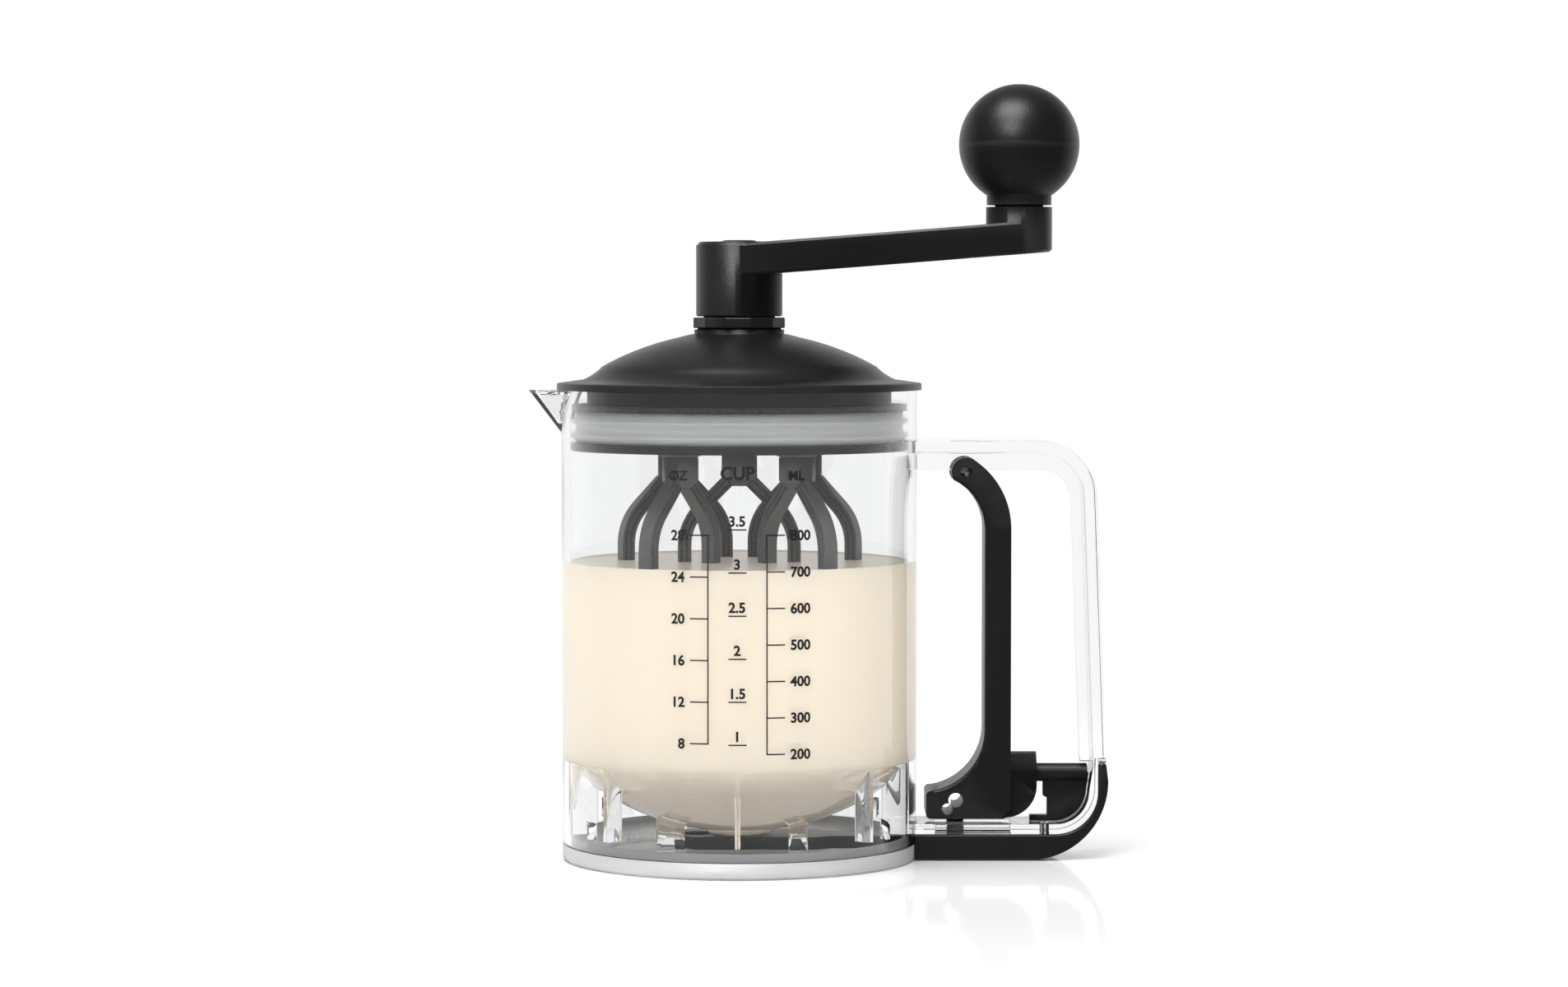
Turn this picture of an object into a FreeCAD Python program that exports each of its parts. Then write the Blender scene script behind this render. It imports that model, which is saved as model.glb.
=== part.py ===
import FreeCAD, Part
import math
import os
import Sketcher

# Hand-cranked batter mixer and dispenser: a clear jug with a funnel floor and a slide valve under it, a clear
# handle with a black squeeze lever that pulls the valve open, and a lift-off lid whose crank turns an internal
# ring gear and, through it, five whisks.
# Frame: origin on the jug's axis at the plane it stands on, +Z up, handle towards +X, spout towards -X,
# printed scales towards -Y.  Millimetres.

doc = FreeCAD.newDocument("batter_mixer")
sizes = doc.addObject("Spreadsheet::Sheet", "Sizes")
V = FreeCAD.Vector
row = 0


class Size:
    """A length with the expression that gives it, so that a sum of lengths carries both."""

    def __init__(self, value, text):
        self.value = float(value)
        self.text = text

    def mix(self, other, sign, result):
        return Size(result, "(" + self.text + " " + sign + " " + size(other).text + ")")

    def __add__(self, other):
        return self.mix(other, "+", self.value + size(other).value)

    def __sub__(self, other):
        return self.mix(other, "-", self.value - size(other).value)

    def __mul__(self, other):
        return self.mix(other, "*", self.value * size(other).value)

    def __truediv__(self, other):
        return self.mix(other, "/", self.value / size(other).value)

    def __neg__(self):
        return Size(-self.value, "(0 - " + self.text + ")")

    def __radd__(self, other):
        return size(other) + self

    def __rsub__(self, other):
        return size(other) - self

    def __rmul__(self, other):
        return size(other) * self


def size(number):
    return number if isinstance(number, Size) else Size(number, repr(float(number)))


def cell(name, value):
    """One driving dimension: a plain number in the sheet, under its own alias."""
    global row
    row += 1
    sizes.set("A%d" % row, name)
    sizes.set("B%d" % row, str(value))
    sizes.setAlias("B%d" % row, name)
    return Size(value, "Sizes." + name)


def bind(thing, prop, length):
    length = size(length)
    if "." in prop or "[" in prop:
        thing.setExpression(prop, length.text)
        return
    setattr(thing, prop, length.value)
    thing.setExpression(prop, length.text)


def place(thing, x=0, y=0, z=0):
    thing.Placement.Base = V(size(x).value, size(y).value, size(z).value)
    for letter, length in (("x", x), ("y", y), ("z", z)):
        if isinstance(length, Size):
            thing.setExpression("Placement.Base." + letter, length.text)


nodes = []


def node(thing, name):
    """Names a finished piece; its name is its file's name."""
    thing.Label = name
    nodes.append(thing)
    return thing


def new_body(name):
    return node(doc.addObject("PartDesign::Body", name), name)


def sketch(body, plane, name, shift=0, turn=0):
    """A sketch on one of the body's own planes, moved along the plane's normal and turned about Z."""
    drawing = body.newObject("Sketcher::SketchObject", name)
    support = [f for f in body.Origin.OriginFeatures if f.Role == plane][0]
    drawing.AttachmentSupport = [(support, "")]
    drawing.MapMode = "FlatFace"
    axis = V(0, 1, 0) if plane != "XY_Plane" else V(0, 0, 1)
    drawing.AttachmentOffset = FreeCAD.Placement(V(0, 0, size(shift).value), FreeCAD.Rotation(axis, turn))
    if isinstance(shift, Size):
        drawing.setExpression("AttachmentOffset.Base.z", shift.text)
    return drawing


def outline(drawing, points):
    """A closed outline.  Each point is (x, y), reached by a line, or (x, y, radius, +1 or -1), reached by an
    arc that turns left (+1) or right (-1).  Every corner and radius is fixed by its own size."""
    corners = [V(size(p[0]).value, size(p[1]).value, 0) for p in points]
    ends = []
    for i in range(len(points)):
        start = corners[i]
        end = corners[(i + 1) % len(points)]
        target = points[(i + 1) % len(points)]
        if len(target) == 2:
            k = drawing.addGeometry(Part.LineSegment(start, end))
            ends.append((k, 1, 2))
        else:
            radius = size(target[2]).value
            chord = end - start
            across = V(-chord.y, chord.x, 0).normalize() * target[3]
            rise = math.sqrt(max(radius ** 2 - chord.Length ** 2 / 4, 0))
            middle = (start + end) / 2 + across * rise
            angles = [math.atan2((p - middle).y, (p - middle).x) for p in (start, end)]
            if target[3] < 0:
                angles.reverse()
            if angles[1] < angles[0]:
                angles[1] += 2 * math.pi
            circle = Part.Circle(middle, V(0, 0, 1), radius)
            k = drawing.addGeometry(Part.ArcOfCircle(circle, angles[0], angles[1]))
            ends.append((k, 1, 2) if target[3] > 0 else (k, 2, 1))
    rules = []
    for i, (k, start, end) in enumerate(ends):
        follower = ends[(i + 1) % len(ends)]
        drawing.addConstraint(Sketcher.Constraint("Coincident", k, end, follower[0], follower[1]))
        for kind, length in (("DistanceX", points[i][0]), ("DistanceY", points[i][1])):
            rule = drawing.addConstraint(Sketcher.Constraint(kind, -1, 1, k, start, size(length).value))
            rules.append((rule, length))
        target = points[(i + 1) % len(points)]
        if len(target) == 4:
            rule = drawing.addConstraint(Sketcher.Constraint("Radius", k, size(target[2]).value))
            rules.append((rule, target[2]))
    for rule, length in rules:
        if isinstance(length, Size):
            drawing.setExpression("Constraints[%d]" % rule, length.text)


def box_outline(drawing, x0, y0, x1, y1):
    outline(drawing, [(x0, y0), (x1, y0), (x1, y1), (x0, y1)])


def ring(drawing, x, y, *radii):
    """Circles about one centre."""
    for radius in radii:
        k = drawing.addGeometry(Part.Circle(V(size(x).value, size(y).value, 0), V(0, 0, 1), size(radius).value))
        for rule, length in (
            (Sketcher.Constraint("DistanceX", -1, 1, k, 3, size(x).value), x),
            (Sketcher.Constraint("DistanceY", -1, 1, k, 3, size(y).value), y),
            (Sketcher.Constraint("Radius", k, size(radius).value), radius),
        ):
            number = drawing.addConstraint(rule)
            if isinstance(length, Size):
                drawing.setExpression("Constraints[%d]" % number, length.text)


def pad(body, drawing, length, both=False, back=False, kind="PartDesign::Pad"):
    """Thickens a sketch along its normal: to one side, to both, or backwards; a Pocket cuts instead."""
    feature = body.newObject(kind, drawing.Name + "_" + kind[12:])
    feature.Profile = drawing
    bind(feature, "Length", length)
    feature.SideType = "Symmetric" if both else "One side"
    feature.Reversed = back
    drawing.Visibility = False
    return feature


def pocket(body, drawing, length, both=False, back=False):
    return pad(body, drawing, length, both, back, "PartDesign::Pocket")


def spin(body, drawing, kind="PartDesign::Revolution"):
    """Turns a sketch in the XZ plane a full turn about Z; a Groove cuts instead."""
    feature = body.newObject(kind, drawing.Name + "_" + kind[12:])
    feature.Profile = drawing
    feature.ReferenceAxis = (drawing, ["V_Axis"])
    feature.Angle = 360
    return feature


def soften(body, picked, length, kind="PartDesign::Fillet"):
    """Rounds or chamfers the edges that picked(edge) chooses on the body's tip."""
    doc.recompute()
    base = body.Tip
    names = ["Edge%d" % (i + 1) for i, edge in enumerate(base.Shape.Edges) if picked(edge)]
    feature = body.newObject(kind, base.Name + "_" + kind[12:])
    feature.Base = (base, names)
    bind(feature, "Radius" if kind.endswith("Fillet") else "Size", length)
    return feature


def turned_part(name, points):
    """A piece of revolution about Z from its half profile."""
    body = new_body(name)
    drawing = sketch(body, "XZ_Plane", name + "_profile")
    outline(drawing, points)
    spin(body, drawing)
    return body


# ---------------------------------------------------------------- jug sizes
jug_r = cell("jug_radius", 56.0)
jug_wall = cell("jug_wall", 2.4)
rim_z = cell("rim_height", 147.8)
base_z = cell("base_ring_height", 5.0)
knee_drop = cell("funnel_cone_drop", 10.0)
knee_in = cell("funnel_cone_inset", 5.1)
cone_top = cell("funnel_top_height", 36.5)
outlet_r = cell("outlet_radius", 5.0)
outlet_z = cell("outlet_height", 10.8)
bowl_r = jug_r * cell("funnel_bowl_ratio", 1.286)
floor_t = cell("funnel_wall", 2.2)
boss_r = cell("outlet_boss_radius", 10.5)
spout_reach = cell("spout_reach", 10.4)
spout_drop = cell("spout_drop", 13.4)
spout_half = cell("spout_half_width", 20.5)
gusset_t = cell("gusset_thickness", 1.6)
gusset_in = cell("gusset_depth", 5.6)

# ---------------------------------------------------------------- valve sizes
slide_z = cell("valve_slide_bottom", 3.4)
slide_t = cell("valve_slide_thickness", 4.0)
slide_half = cell("valve_slide_half_width", 11.0)
stem_half = cell("valve_stem_half_width", 7.5)
slide_gap = cell("valve_slide_clearance", 0.3)
travel = cell("valve_travel", 13.5)
port_r = cell("valve_port_radius", 4.6)
slide_end = cell("valve_slide_end", 20.2)
rail_wall = cell("rail_wall", 1.8)
seal_t = cell("seal_height", 1.9)

# ---------------------------------------------------------------- handle sizes
bow_top = cell("handle_top_height", 132.0)
bow_reach = cell("handle_top_reach", 112.5)
bow_foot = cell("handle_foot_reach", 115.4)
bow_half = cell("handle_half_width", 10.0)
flange_t = cell("handle_flange", 4.0)
web_half = cell("handle_web_half", 3.0)
web_top = cell("handle_web_top", 5.4)
web_side = cell("handle_web_side", 3.9)
bow_r = cell("handle_corner_radius", 18.2)
foot_r = cell("handle_foot_radius", 13.5)
run_z = cell("handle_run_height", 8.1)
run_t = cell("handle_run_thickness", 3.3)
step_z = cell("handle_step_height", 30.6)
cover_t = cell("cover_thickness", 2.5)
cover_r = cell("cover_corner_radius", 24.9)
cover_half = cell("cover_half_width", 10.8)
floor_z = cell("cover_floor", 2.6)

# ---------------------------------------------------------------- lever sizes
pivot_x = cell("pivot_x", 71.2)
pivot_z = cell("pivot_height", 122.2)
pin_r = cell("pivot_pin_radius", 1.75)
run_fit = cell("running_clearance", 0.05)
lever_half = cell("lever_half_width", 10.0)
lever_left = cell("lever_inner_x", 77.1)
lever_t = cell("lever_thickness", 8.3)
lever_low = cell("lever_bottom", 13.0)
tube_z = cell("spring_tube_height", 26.7)
tube_r = cell("spring_tube_radius", 2.9)
block_r = cell("spring_block_radius", 6.65)
block_x = cell("spring_block_end", 93.8)

# ---------------------------------------------------------------- lid, gear and whisk sizes
brim_r = cell("lid_brim_radius", 57.5)
lid_gap = cell("lid_seat_gap", 0.1)
lid_t = cell("lid_wall", 2.2)
plug_r = cell("lid_plug_radius", 48.0)
core_r = cell("gear_housing_radius", 49.6)
cavity_r = cell("gear_cavity_radius", 45.3)
flange_r = cell("lid_flange_radius", 52.9)
cover_low = rim_z - cell("gear_cover_drop", 18.8)
gear_cover_t = cell("gear_cover_thickness", 2.6)
gasket_r = cell("gasket_radius", 51.6)
lip_gap = cell("lid_fit_gap", 0.3)
gear_module = cell("gear_module", 1.25)
gear_face = cell("gear_face_width", 6.0)
backlash = cell("gear_backlash", 0.2)
shaft_r = cell("drive_shaft_radius", 6.0)
bush_r = cell("neck_bush_radius", 8.2)
collar_r = cell("collar_radius", 14.9)
stub_r = cell("whisk_stub_radius", 5.6)
spigot_r = cell("whisk_spigot_radius", 3.0)
loop_w = cell("whisk_half_width", 19.4)
loop_t = cell("whisk_arm", 4.2)
loop_low = cell("whisk_bottom", 38.0)
loop_bend = cell("whisk_shoulder_radius", 18.6)
ridge_t = cell("whisk_ridge_thickness", 4.4)
vane_t = cell("whisk_groove_thickness", 3.4)

# ---------------------------------------------------------------- crank sizes
hub_r = cell("crank_hub_radius", 13.6)
hub_low = cell("crank_hub_bottom", 171.0)
hub_top = cell("crank_hub_top", 194.4)
arm_reach = cell("crank_reach", 88.1)
boss_out = cell("crank_boss_radius", 10.4)
arm_t = cell("crank_arm_height", 10.1)
arm_rise = cell("crank_arm_rise", 7.1)
boss_low = cell("crank_boss_bottom", 191.9)
boss_top = cell("crank_boss_top", 205.3)
knob_gap = cell("knob_gap", 0.7)
ball_r = cell("knob_radius", 18.95)
ball_z = cell("knob_height", 225.0)
neck_r = cell("knob_neck_radius", 10.2)
rivet_r = cell("knob_pin_radius", 2.5)

inner_r = jug_r - jug_wall
knee_r = inner_r - knee_in
knee_z = cone_top - knee_drop
slide_top = slide_z + slide_t
seat_z = slide_top + 0.1 + seal_t
boss_z = slide_top + slide_gap + 0.5

# ================================================================ jug
# Clear one-piece vessel: straight wall, pouring spout, funnel floor with the outlet, and the rails and gussets
# below the funnel.
jug = new_body("jug_body")
wall = sketch(jug, "XZ_Plane", "jug_wall")
outline(wall, [
    (inner_r, base_z),
    (jug_r, base_z),
    (jug_r, rim_z),
    (inner_r, rim_z),
])
spin(jug, wall)
# The funnel's underside follows its wet side one wall lower.
under = sketch(jug, "XZ_Plane", "jug_funnel")
outline(under, [
    (0.0, boss_z),
    (boss_r, boss_z),
    (boss_r, outlet_z - 1.4),
    (knee_r - 1.2, knee_z - floor_t * 1.15, bowl_r, 1),
    (inner_r + 0.6, cone_top - floor_t * 1.9),
    (inner_r + 0.6, cone_top),
    (inner_r, cone_top),
    (0.0, cone_top),
])
spin(jug, under)


def spout_corners(level, grow, depth):
    """The spout's plan at one level: its point and its two roots in the wall."""
    share = (rim_z - level) / spout_drop
    point = -jug_r - 0.2 - (spout_reach - 0.2) * (1 - share) + grow
    root = -(jug_r - 4.7) - 3.4 * share + depth
    half = spout_half - (spout_half - 3.0) * share + depth * 0.22
    return [(point, 0.0), (root, -half), (root, half)]


def loft(body, kind, name, low, high, grow, depth):
    parts = []
    for tag, level, top in (("low", low, False), ("high", high, True)):
        drawing = sketch(body, "XY_Plane", name + "_" + tag, level)
        outline(drawing, spout_corners(rim_z if top else level, grow, depth))
        parts.append(drawing)
    feature = body.newObject(kind, name)
    feature.Profile = parts[0]
    feature.Sections = [parts[1]]
    return feature


loft(jug, "PartDesign::AdditiveLoft", "spout_outside", rim_z - spout_drop, rim_z, 0.0, 0.0)

# Gussets stand between the skirt and the funnel; short stiffeners stand beside them.
for angle in (-163.0, -131.5, -106.0, -73.0, -48.5, 0.0, 48.5, 73.0, 106.0, 131.5, 163.0):
    rib = sketch(jug, "XZ_Plane", "gusset", turn=-90 + angle)
    box_outline(rib, inner_r - gusset_in, base_z + slide_t, inner_r + 0.6, cone_top - 0.5)
    pad(jug, rib, gusset_t, both=True)
for angle in (-122.0, -58.0, 58.0, 122.0):
    rib = sketch(jug, "XZ_Plane", "stiffener", turn=-90 + angle)
    box_outline(rib, inner_r - 2.4, base_z + slide_t, inner_r + 0.6, base_z + 10.4)
    pad(jug, rib, gusset_t * 0.75, both=True)

# Two pairs of hooked rails carry the valve slide under the outlet.
rail_y = slide_half + slide_gap
for x0, length in ((-26.0, 9.0), (15.5, 6.0)):
    for side in (-1, 1):
        hook = sketch(jug, "YZ_Plane", "rail", shift=size(x0))
        outline(hook, [
            (side * (rail_y - 2.3), slide_z - slide_gap - 1.0),
            (side * (rail_y + rail_wall), slide_z - slide_gap - 1.0),
            (side * (rail_y + rail_wall), outlet_z + 8.0),
            (side * rail_y, outlet_z + 8.0),
            (side * rail_y, slide_z - slide_gap),
            (side * (rail_y - 2.3), slide_z - slide_gap),
        ])
        pad(jug, hook, length)

# The wet side is cut last, so nothing below the funnel stands into the batter.
wet = sketch(jug, "XZ_Plane", "wet_side")
outline(wet, [
    (0.0, 0.0),
    (outlet_r, 0.0),
    (outlet_r, outlet_z),
    (knee_r, knee_z, bowl_r, 1),
    (inner_r, cone_top),
    (inner_r, rim_z + 1.0),
    (0.0, rim_z + 1.0),
])
spin(jug, wet, "PartDesign::Groove")
loft(jug, "PartDesign::SubtractiveLoft", "spout_inside", rim_z - spout_drop + 3.6, rim_z + 0.5, 2.7, 3.4)
# The seal sits in a counterbore under the outlet.
seat = sketch(jug, "XY_Plane", "seal_seat", shift=boss_z - 1.0)
ring(seat, 0.0, 0.0, boss_r - 2.2)
pocket(jug, seat, seat_z - boss_z + 1.0, back=True)
# The slide leaves through a window in the skirt.
window = sketch(jug, "XY_Plane", "window", shift=base_z - 1.0)
box_outline(window, inner_r - 4.0, -(stem_half + slide_gap), jug_r + 1.0, stem_half + slide_gap)
pocket(jug, window, slide_top + slide_gap + 0.4 - base_z + 1.0, back=True)
jug.Tip = jug.Group[-1]

# Frosted ring that the jug stands on, with a lip inside the skirt.
foot = turned_part("base_ring", [
    (jug_r - 6.6, 0.0),
    (jug_r - 0.6, 0.0),
    (jug_r, 0.6),
    (jug_r, base_z),
    (inner_r - lip_gap / 3, base_z),
    (inner_r - lip_gap / 3, base_z + 2.6),
    (inner_r - 1.6, base_z + 2.6),
    (inner_r - 1.6, base_z - 2.0),
    (jug_r - 6.6, base_z - 2.0),
])
gate = sketch(foot, "XY_Plane", "gate", shift=floor_z)
box_outline(gate, jug_r - 12.0, -(stem_half + slide_gap), jug_r + 1.0, stem_half + slide_gap)
pocket(foot, gate, base_z + 4.0, back=True)

# Silicone ring that closes the gap between the outlet and the slide.
turned_part("outlet_seal", [
    (outlet_r + 0.2, slide_top + 0.1),
    (boss_r - 2.4, slide_top + 0.1),
    (boss_r - 2.4, seat_z - 0.05),
    (outlet_r + 0.2, seat_z - 0.05),
])

# ================================================================ handle
# Clear T-section bow: a wide outer flange with a web inside it, open to the hand.
bow = new_body("handle_bow")
root_x = jug_r - 6.0
top_in = bow_top - flange_t
side_in = bow_reach - flange_t
foot_in = bow_foot - flange_t
run_top = run_z + run_t
foot_c = bow_foot - cover_t - foot_r
lean_x = bow_foot + (bow_reach - bow_foot) * 0.04
flange = sketch(bow, "XZ_Plane", "flange")
outline(flange, [
    (root_x, run_z),
    (foot_c, run_z),
    (bow_foot - cover_t, run_z + foot_r, foot_r, 1),
    (bow_foot - cover_t, step_z),
    (bow_foot, step_z),
    (bow_reach, bow_top - bow_r),
    (bow_reach - bow_r, bow_top, bow_r, 1),
    (root_x, bow_top),
    (root_x, top_in),
    (bow_reach - bow_r, top_in),
    (side_in, bow_top - bow_r, bow_r - flange_t, -1),
    (foot_in, step_z),
    (bow_foot - cover_t - run_t + 0.4, run_z + foot_r),
    (foot_c, run_top, foot_r - run_t + 0.2, -1),
    (root_x, run_top),
])
pad(bow, flange, bow_half * 2, both=True)
web = sketch(bow, "XZ_Plane", "web")
outline(web, [
    (root_x, top_in - web_top),
    (bow_reach - bow_r + 0.8, top_in - web_top),
    (side_in - web_side - 0.1, bow_top - bow_r - 0.8, bow_r - flange_t - web_top + 0.7, -1),
    (foot_in - web_side, tube_z + tube_r + 0.6),
    (foot_in + 0.5, tube_z + tube_r + 0.6),
    (side_in + 0.5, bow_top - bow_r),
    (bow_reach - bow_r, top_in + 0.5, bow_r - flange_t + 0.5, 1),
    (root_x, top_in + 0.5),
])
pad(bow, web, web_half * 2, both=True)
lug = sketch(bow, "XZ_Plane", "lug")
outline(lug, [
    (pivot_x - 3.6, pivot_z),
    (pivot_x + 3.6, pivot_z, 3.6, 1),
    (pivot_x + 3.6, top_in - 1.0),
    (pivot_x - 3.6, top_in - 1.0),
])
pad(bow, lug, web_half * 2, both=True)
eye = sketch(bow, "XZ_Plane", "eye")
ring(eye, pivot_x, pivot_z, pin_r)
pocket(bow, eye, web_half * 2 + 2, both=True)
# The lever's foot reaches the slide through a slot in the lower run.
slot = sketch(bow, "XY_Plane", "slot", shift=run_z - 1.0)
box_outline(slot, pivot_x - 9.4, -3.7, pivot_x + 14.4, 3.7)
pocket(bow, slot, run_t + 2.0, back=True)
# Snap window that the cover's tip clips under.
snap = sketch(bow, "XZ_Plane", "snap")
box_outline(snap, bow_foot - cover_t, step_z - 0.6, bow_foot + 1.0, step_z + 1.2)
pocket(bow, snap, bow_half, both=True)
screw_x = foot_c - 3.0
for side in (-1, 1):
    hole = sketch(bow, "XY_Plane", "screw_hole", shift=run_z - 1.0)
    ring(hole, screw_x, size(side * 5.5), 1.3)
    pocket(bow, hole, run_t + 2.0, back=True)
cut = doc.addObject("Part::Cylinder", "jug_outside")
bind(cut, "Radius", jug_r)
bind(cut, "Height", rim_z)
handle = doc.addObject("Part::Cut", "handle")
handle.Base = bow
handle.Tool = cut
nodes.remove(bow)
bow.Label = "bow_blank"
node(handle, "handle_bow")

# Black cover under the handle's lower run: the valve slide's stem runs in its channel.
shell = new_body("cover_blank")
nodes.remove(shell)
side = sketch(shell, "XZ_Plane", "cover_side")
outer_x = bow_foot + 0.7
outline(side, [
    (root_x, 0.0),
    (outer_x - cover_r, 0.0),
    (outer_x, cover_r, cover_r, 1),
    (bow_foot, step_z - 0.1),
    (bow_foot - cover_t + 0.1, step_z - 0.1),
    (bow_foot - cover_t + 0.1, run_z + foot_r),
    (foot_c, run_z - 0.05, foot_r + 0.1, -1),
    (root_x, run_z - 0.05),
])
pad(shell, side, cover_half * 2, both=True)
channel = sketch(shell, "XY_Plane", "channel", shift=floor_z)
box_outline(channel, root_x - 1.0, -(stem_half + slide_gap), pivot_x + 21.5, stem_half + slide_gap)
pocket(shell, channel, run_z, back=True)
for side in (-1, 1):
    hole = sketch(shell, "XY_Plane", "screw_way", shift=size(-1.0))
    ring(hole, screw_x, size(side * 5.5), 1.45)
    pocket(shell, hole, run_z + 2.0, back=True)
    sink = sketch(shell, "XY_Plane", "screw_sink", shift=size(-1.0))
    ring(sink, screw_x, size(side * 5.5), 2.9)
    pocket(shell, sink, 3.4, back=True)
cover = doc.addObject("Part::Cut", "cover")
cover.Base = shell
trim = doc.addObject("Part::Cylinder", "jug_trim")
bind(trim, "Radius", jug_r + 0.05)
bind(trim, "Height", rim_z)
cover.Tool = trim
node(cover, "bottom_cover")

# Two self-tapping screws hold the cover to the handle.
for name, side in (("cover_screw_front", -1), ("cover_screw_rear", 1)):
    screw = turned_part(name, [
        (0.0, 0.9),
        (2.6, 0.9),
        (2.6, 2.2),
        (1.25, 2.35),
        (1.25, run_z + run_t - 0.4),
        (0.0, run_z + run_t),
    ])
    cross = sketch(screw, "XY_Plane", name + "_recess", shift=size(0.5))
    outline(cross, [
        (1.5, 0.35), (0.35, 0.35), (0.35, 1.5), (-0.35, 1.5), (-0.35, 0.35), (-1.5, 0.35),
        (-1.5, -0.35), (-0.35, -0.35), (-0.35, -1.5), (0.35, -1.5), (0.35, -0.35), (1.5, -0.35),
    ])
    pocket(screw, cross, 1.2, back=True)
    place(screw, screw_x, side * 5.5, 0)

# Black post clipped inside the handle's lower corner: a tube for the spring on a thin fin.
post = new_body("spring_post")
fin = sketch(post, "XZ_Plane", "fin")
post_r = foot_r - run_t + 0.15
outline(fin, [
    (pivot_x + 20.6, run_top + 0.03),
    (foot_c, run_top + 0.03),
    (foot_c + post_r, run_top + 0.03 + post_r, post_r, 1),
    (foot_in - 0.9, tube_z),
    (foot_in - 2.6, tube_z + 1.0),
    (pivot_x + 24.8, tube_z + 1.0),
    (pivot_x + 24.8, run_top + 8.0),
    (pivot_x + 26.1, run_top + 7.4),
    (pivot_x + 26.1, run_top + 1.9),
    (pivot_x + 20.6, run_top + 1.9),
])
pad(post, fin, 3.2, both=True)
tube = sketch(post, "YZ_Plane", "tube", shift=pivot_x + 20.3)
ring(tube, 0.0, tube_z, tube_r)
pad(post, tube, foot_in - 1.4 - pivot_x - 20.3)
bore = sketch(post, "YZ_Plane", "bore", shift=pivot_x + 20.0)
ring(bore, 0.0, tube_z, tube_r - 0.7)
pocket(post, bore, 17.6, back=True)

# Steel pin that the lever swings on.
pin = node(doc.addObject("Part::Cylinder", "pin"), "pivot_pin")
bind(pin, "Radius", pin_r)
bind(pin, "Height", lever_half * 2 - 1.0)
pin.Placement.Rotation = FreeCAD.Rotation(V(1, 0, 0), -90)
place(pin, pivot_x, -(lever_half - 0.5), pivot_z)

# ================================================================ lever
# Wide squeeze lever: forked eye over the handle's web, curved neck, straight grip, flared foot with a keyhole,
# and a block that takes the spring tube.
lever = new_body("lever")
right = lever_left + lever_t
flat_z = pivot_z - 18.14
arc_out = cell("lever_arc_radius", 25.87)
arc_in = arc_out - lever_t - 0.25
flare_r = cell("lever_flare_radius", 19.4)
flare_z = lever_low + 28.05
end_r = cell("lever_eye_radius", 4.6)
blade = sketch(lever, "XZ_Plane", "blade")
outline(blade, [
    (pivot_x - 3.84, pivot_z - 2.53, end_r, 1),
    (lever_left, flat_z, arc_in, -1),
    (lever_left, flare_z),
    (lever_left - flare_r + 2.6, flare_z - flare_r + 0.175, flare_r, -1),
    (lever_left - flare_r + 1.1, flare_z - flare_r - 1.3, 1.5, 1),
    (lever_left - flare_r + 1.1, lever_low + 1.4),
    (lever_left - flare_r + 2.5, lever_low, 1.4, 1),
    (right - 3.0, lever_low),
    (right, lever_low + 3.0, 3.0, 1),
    (right, flat_z),
    (pivot_x + 2.37, pivot_z + 3.94, arc_out, 1),
])
pad(lever, blade, lever_half * 2, both=True)
# The block behind the grip is round on top, where the tube enters it, and rounded below.
block = sketch(lever, "XZ_Plane", "block")
outline(block, [
    (right - 3.0, lever_low),
    (block_x - 10.1, lever_low),
    (block_x, lever_low + 10.1, 10.1, 1),
    (block_x, tube_z),
    (right - 3.0, tube_z),
])
pad(lever, block, block_r * 2, both=True)
dome = sketch(lever, "YZ_Plane", "block_top", shift=right - 3.0)
ring(dome, 0.0, tube_z, block_r)
pad(lever, dome, block_x - right + 3.0)
foot_half = 2.6
stem = sketch(lever, "XZ_Plane", "foot")
outline(stem, [
    (pivot_x - 3.0 - foot_half, lever_low + 0.5),
    (pivot_x - 3.0 - foot_half, slide_z + foot_half),
    (pivot_x - 3.0 + foot_half, slide_z + foot_half, foot_half, 1),
    (pivot_x - 3.0 + foot_half, lever_low + 0.5),
])
pad(lever, stem, 6.4, both=True)
fork = sketch(lever, "XZ_Plane", "fork")
outline(fork, [
    (pivot_x - 6.0, pivot_z - 6.0),
    (pivot_x + 5.2, pivot_z - 6.0),
    (pivot_x + 16.0, pivot_z - 0.6),
    (pivot_x + 16.0, pivot_z + 6.0),
    (pivot_x - 6.0, pivot_z + 6.0),
])
pocket(lever, fork, web_half * 2 + 0.8, both=True)
eyes = sketch(lever, "XZ_Plane", "eyes")
ring(eyes, pivot_x, pivot_z, pin_r + run_fit)
pocket(lever, eyes, lever_half * 2 + 2, both=True)
# Cavity for the tube, and below it a slot for the post's fin; both open to the rear.
nest = sketch(lever, "XZ_Plane", "nest")
box_outline(nest, pivot_x + 8.4, tube_z - tube_r - 4.6, block_x + 1.0, tube_z + tube_r + 0.7)
pocket(lever, nest, tube_r * 2 + 0.8, both=True)
groove = sketch(lever, "XZ_Plane", "fin_slot")
box_outline(groove, pivot_x + 8.4, lever_low - 1.0, block_x + 1.0, tube_z)
pocket(lever, groove, 4.2, both=True)
# Keyhole through the flare.
key = sketch(lever, "XZ_Plane", "key_upper")
ring(key, pivot_x - 3.1, lever_low + 5.9, 2.3)
pocket(lever, key, lever_half * 2 + 2, both=True)
key = sketch(lever, "XZ_Plane", "key_lower")
ring(key, pivot_x - 5.7, lever_low + 3.1, 1.8)
pocket(lever, key, lever_half * 2 + 2, both=True)
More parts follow.
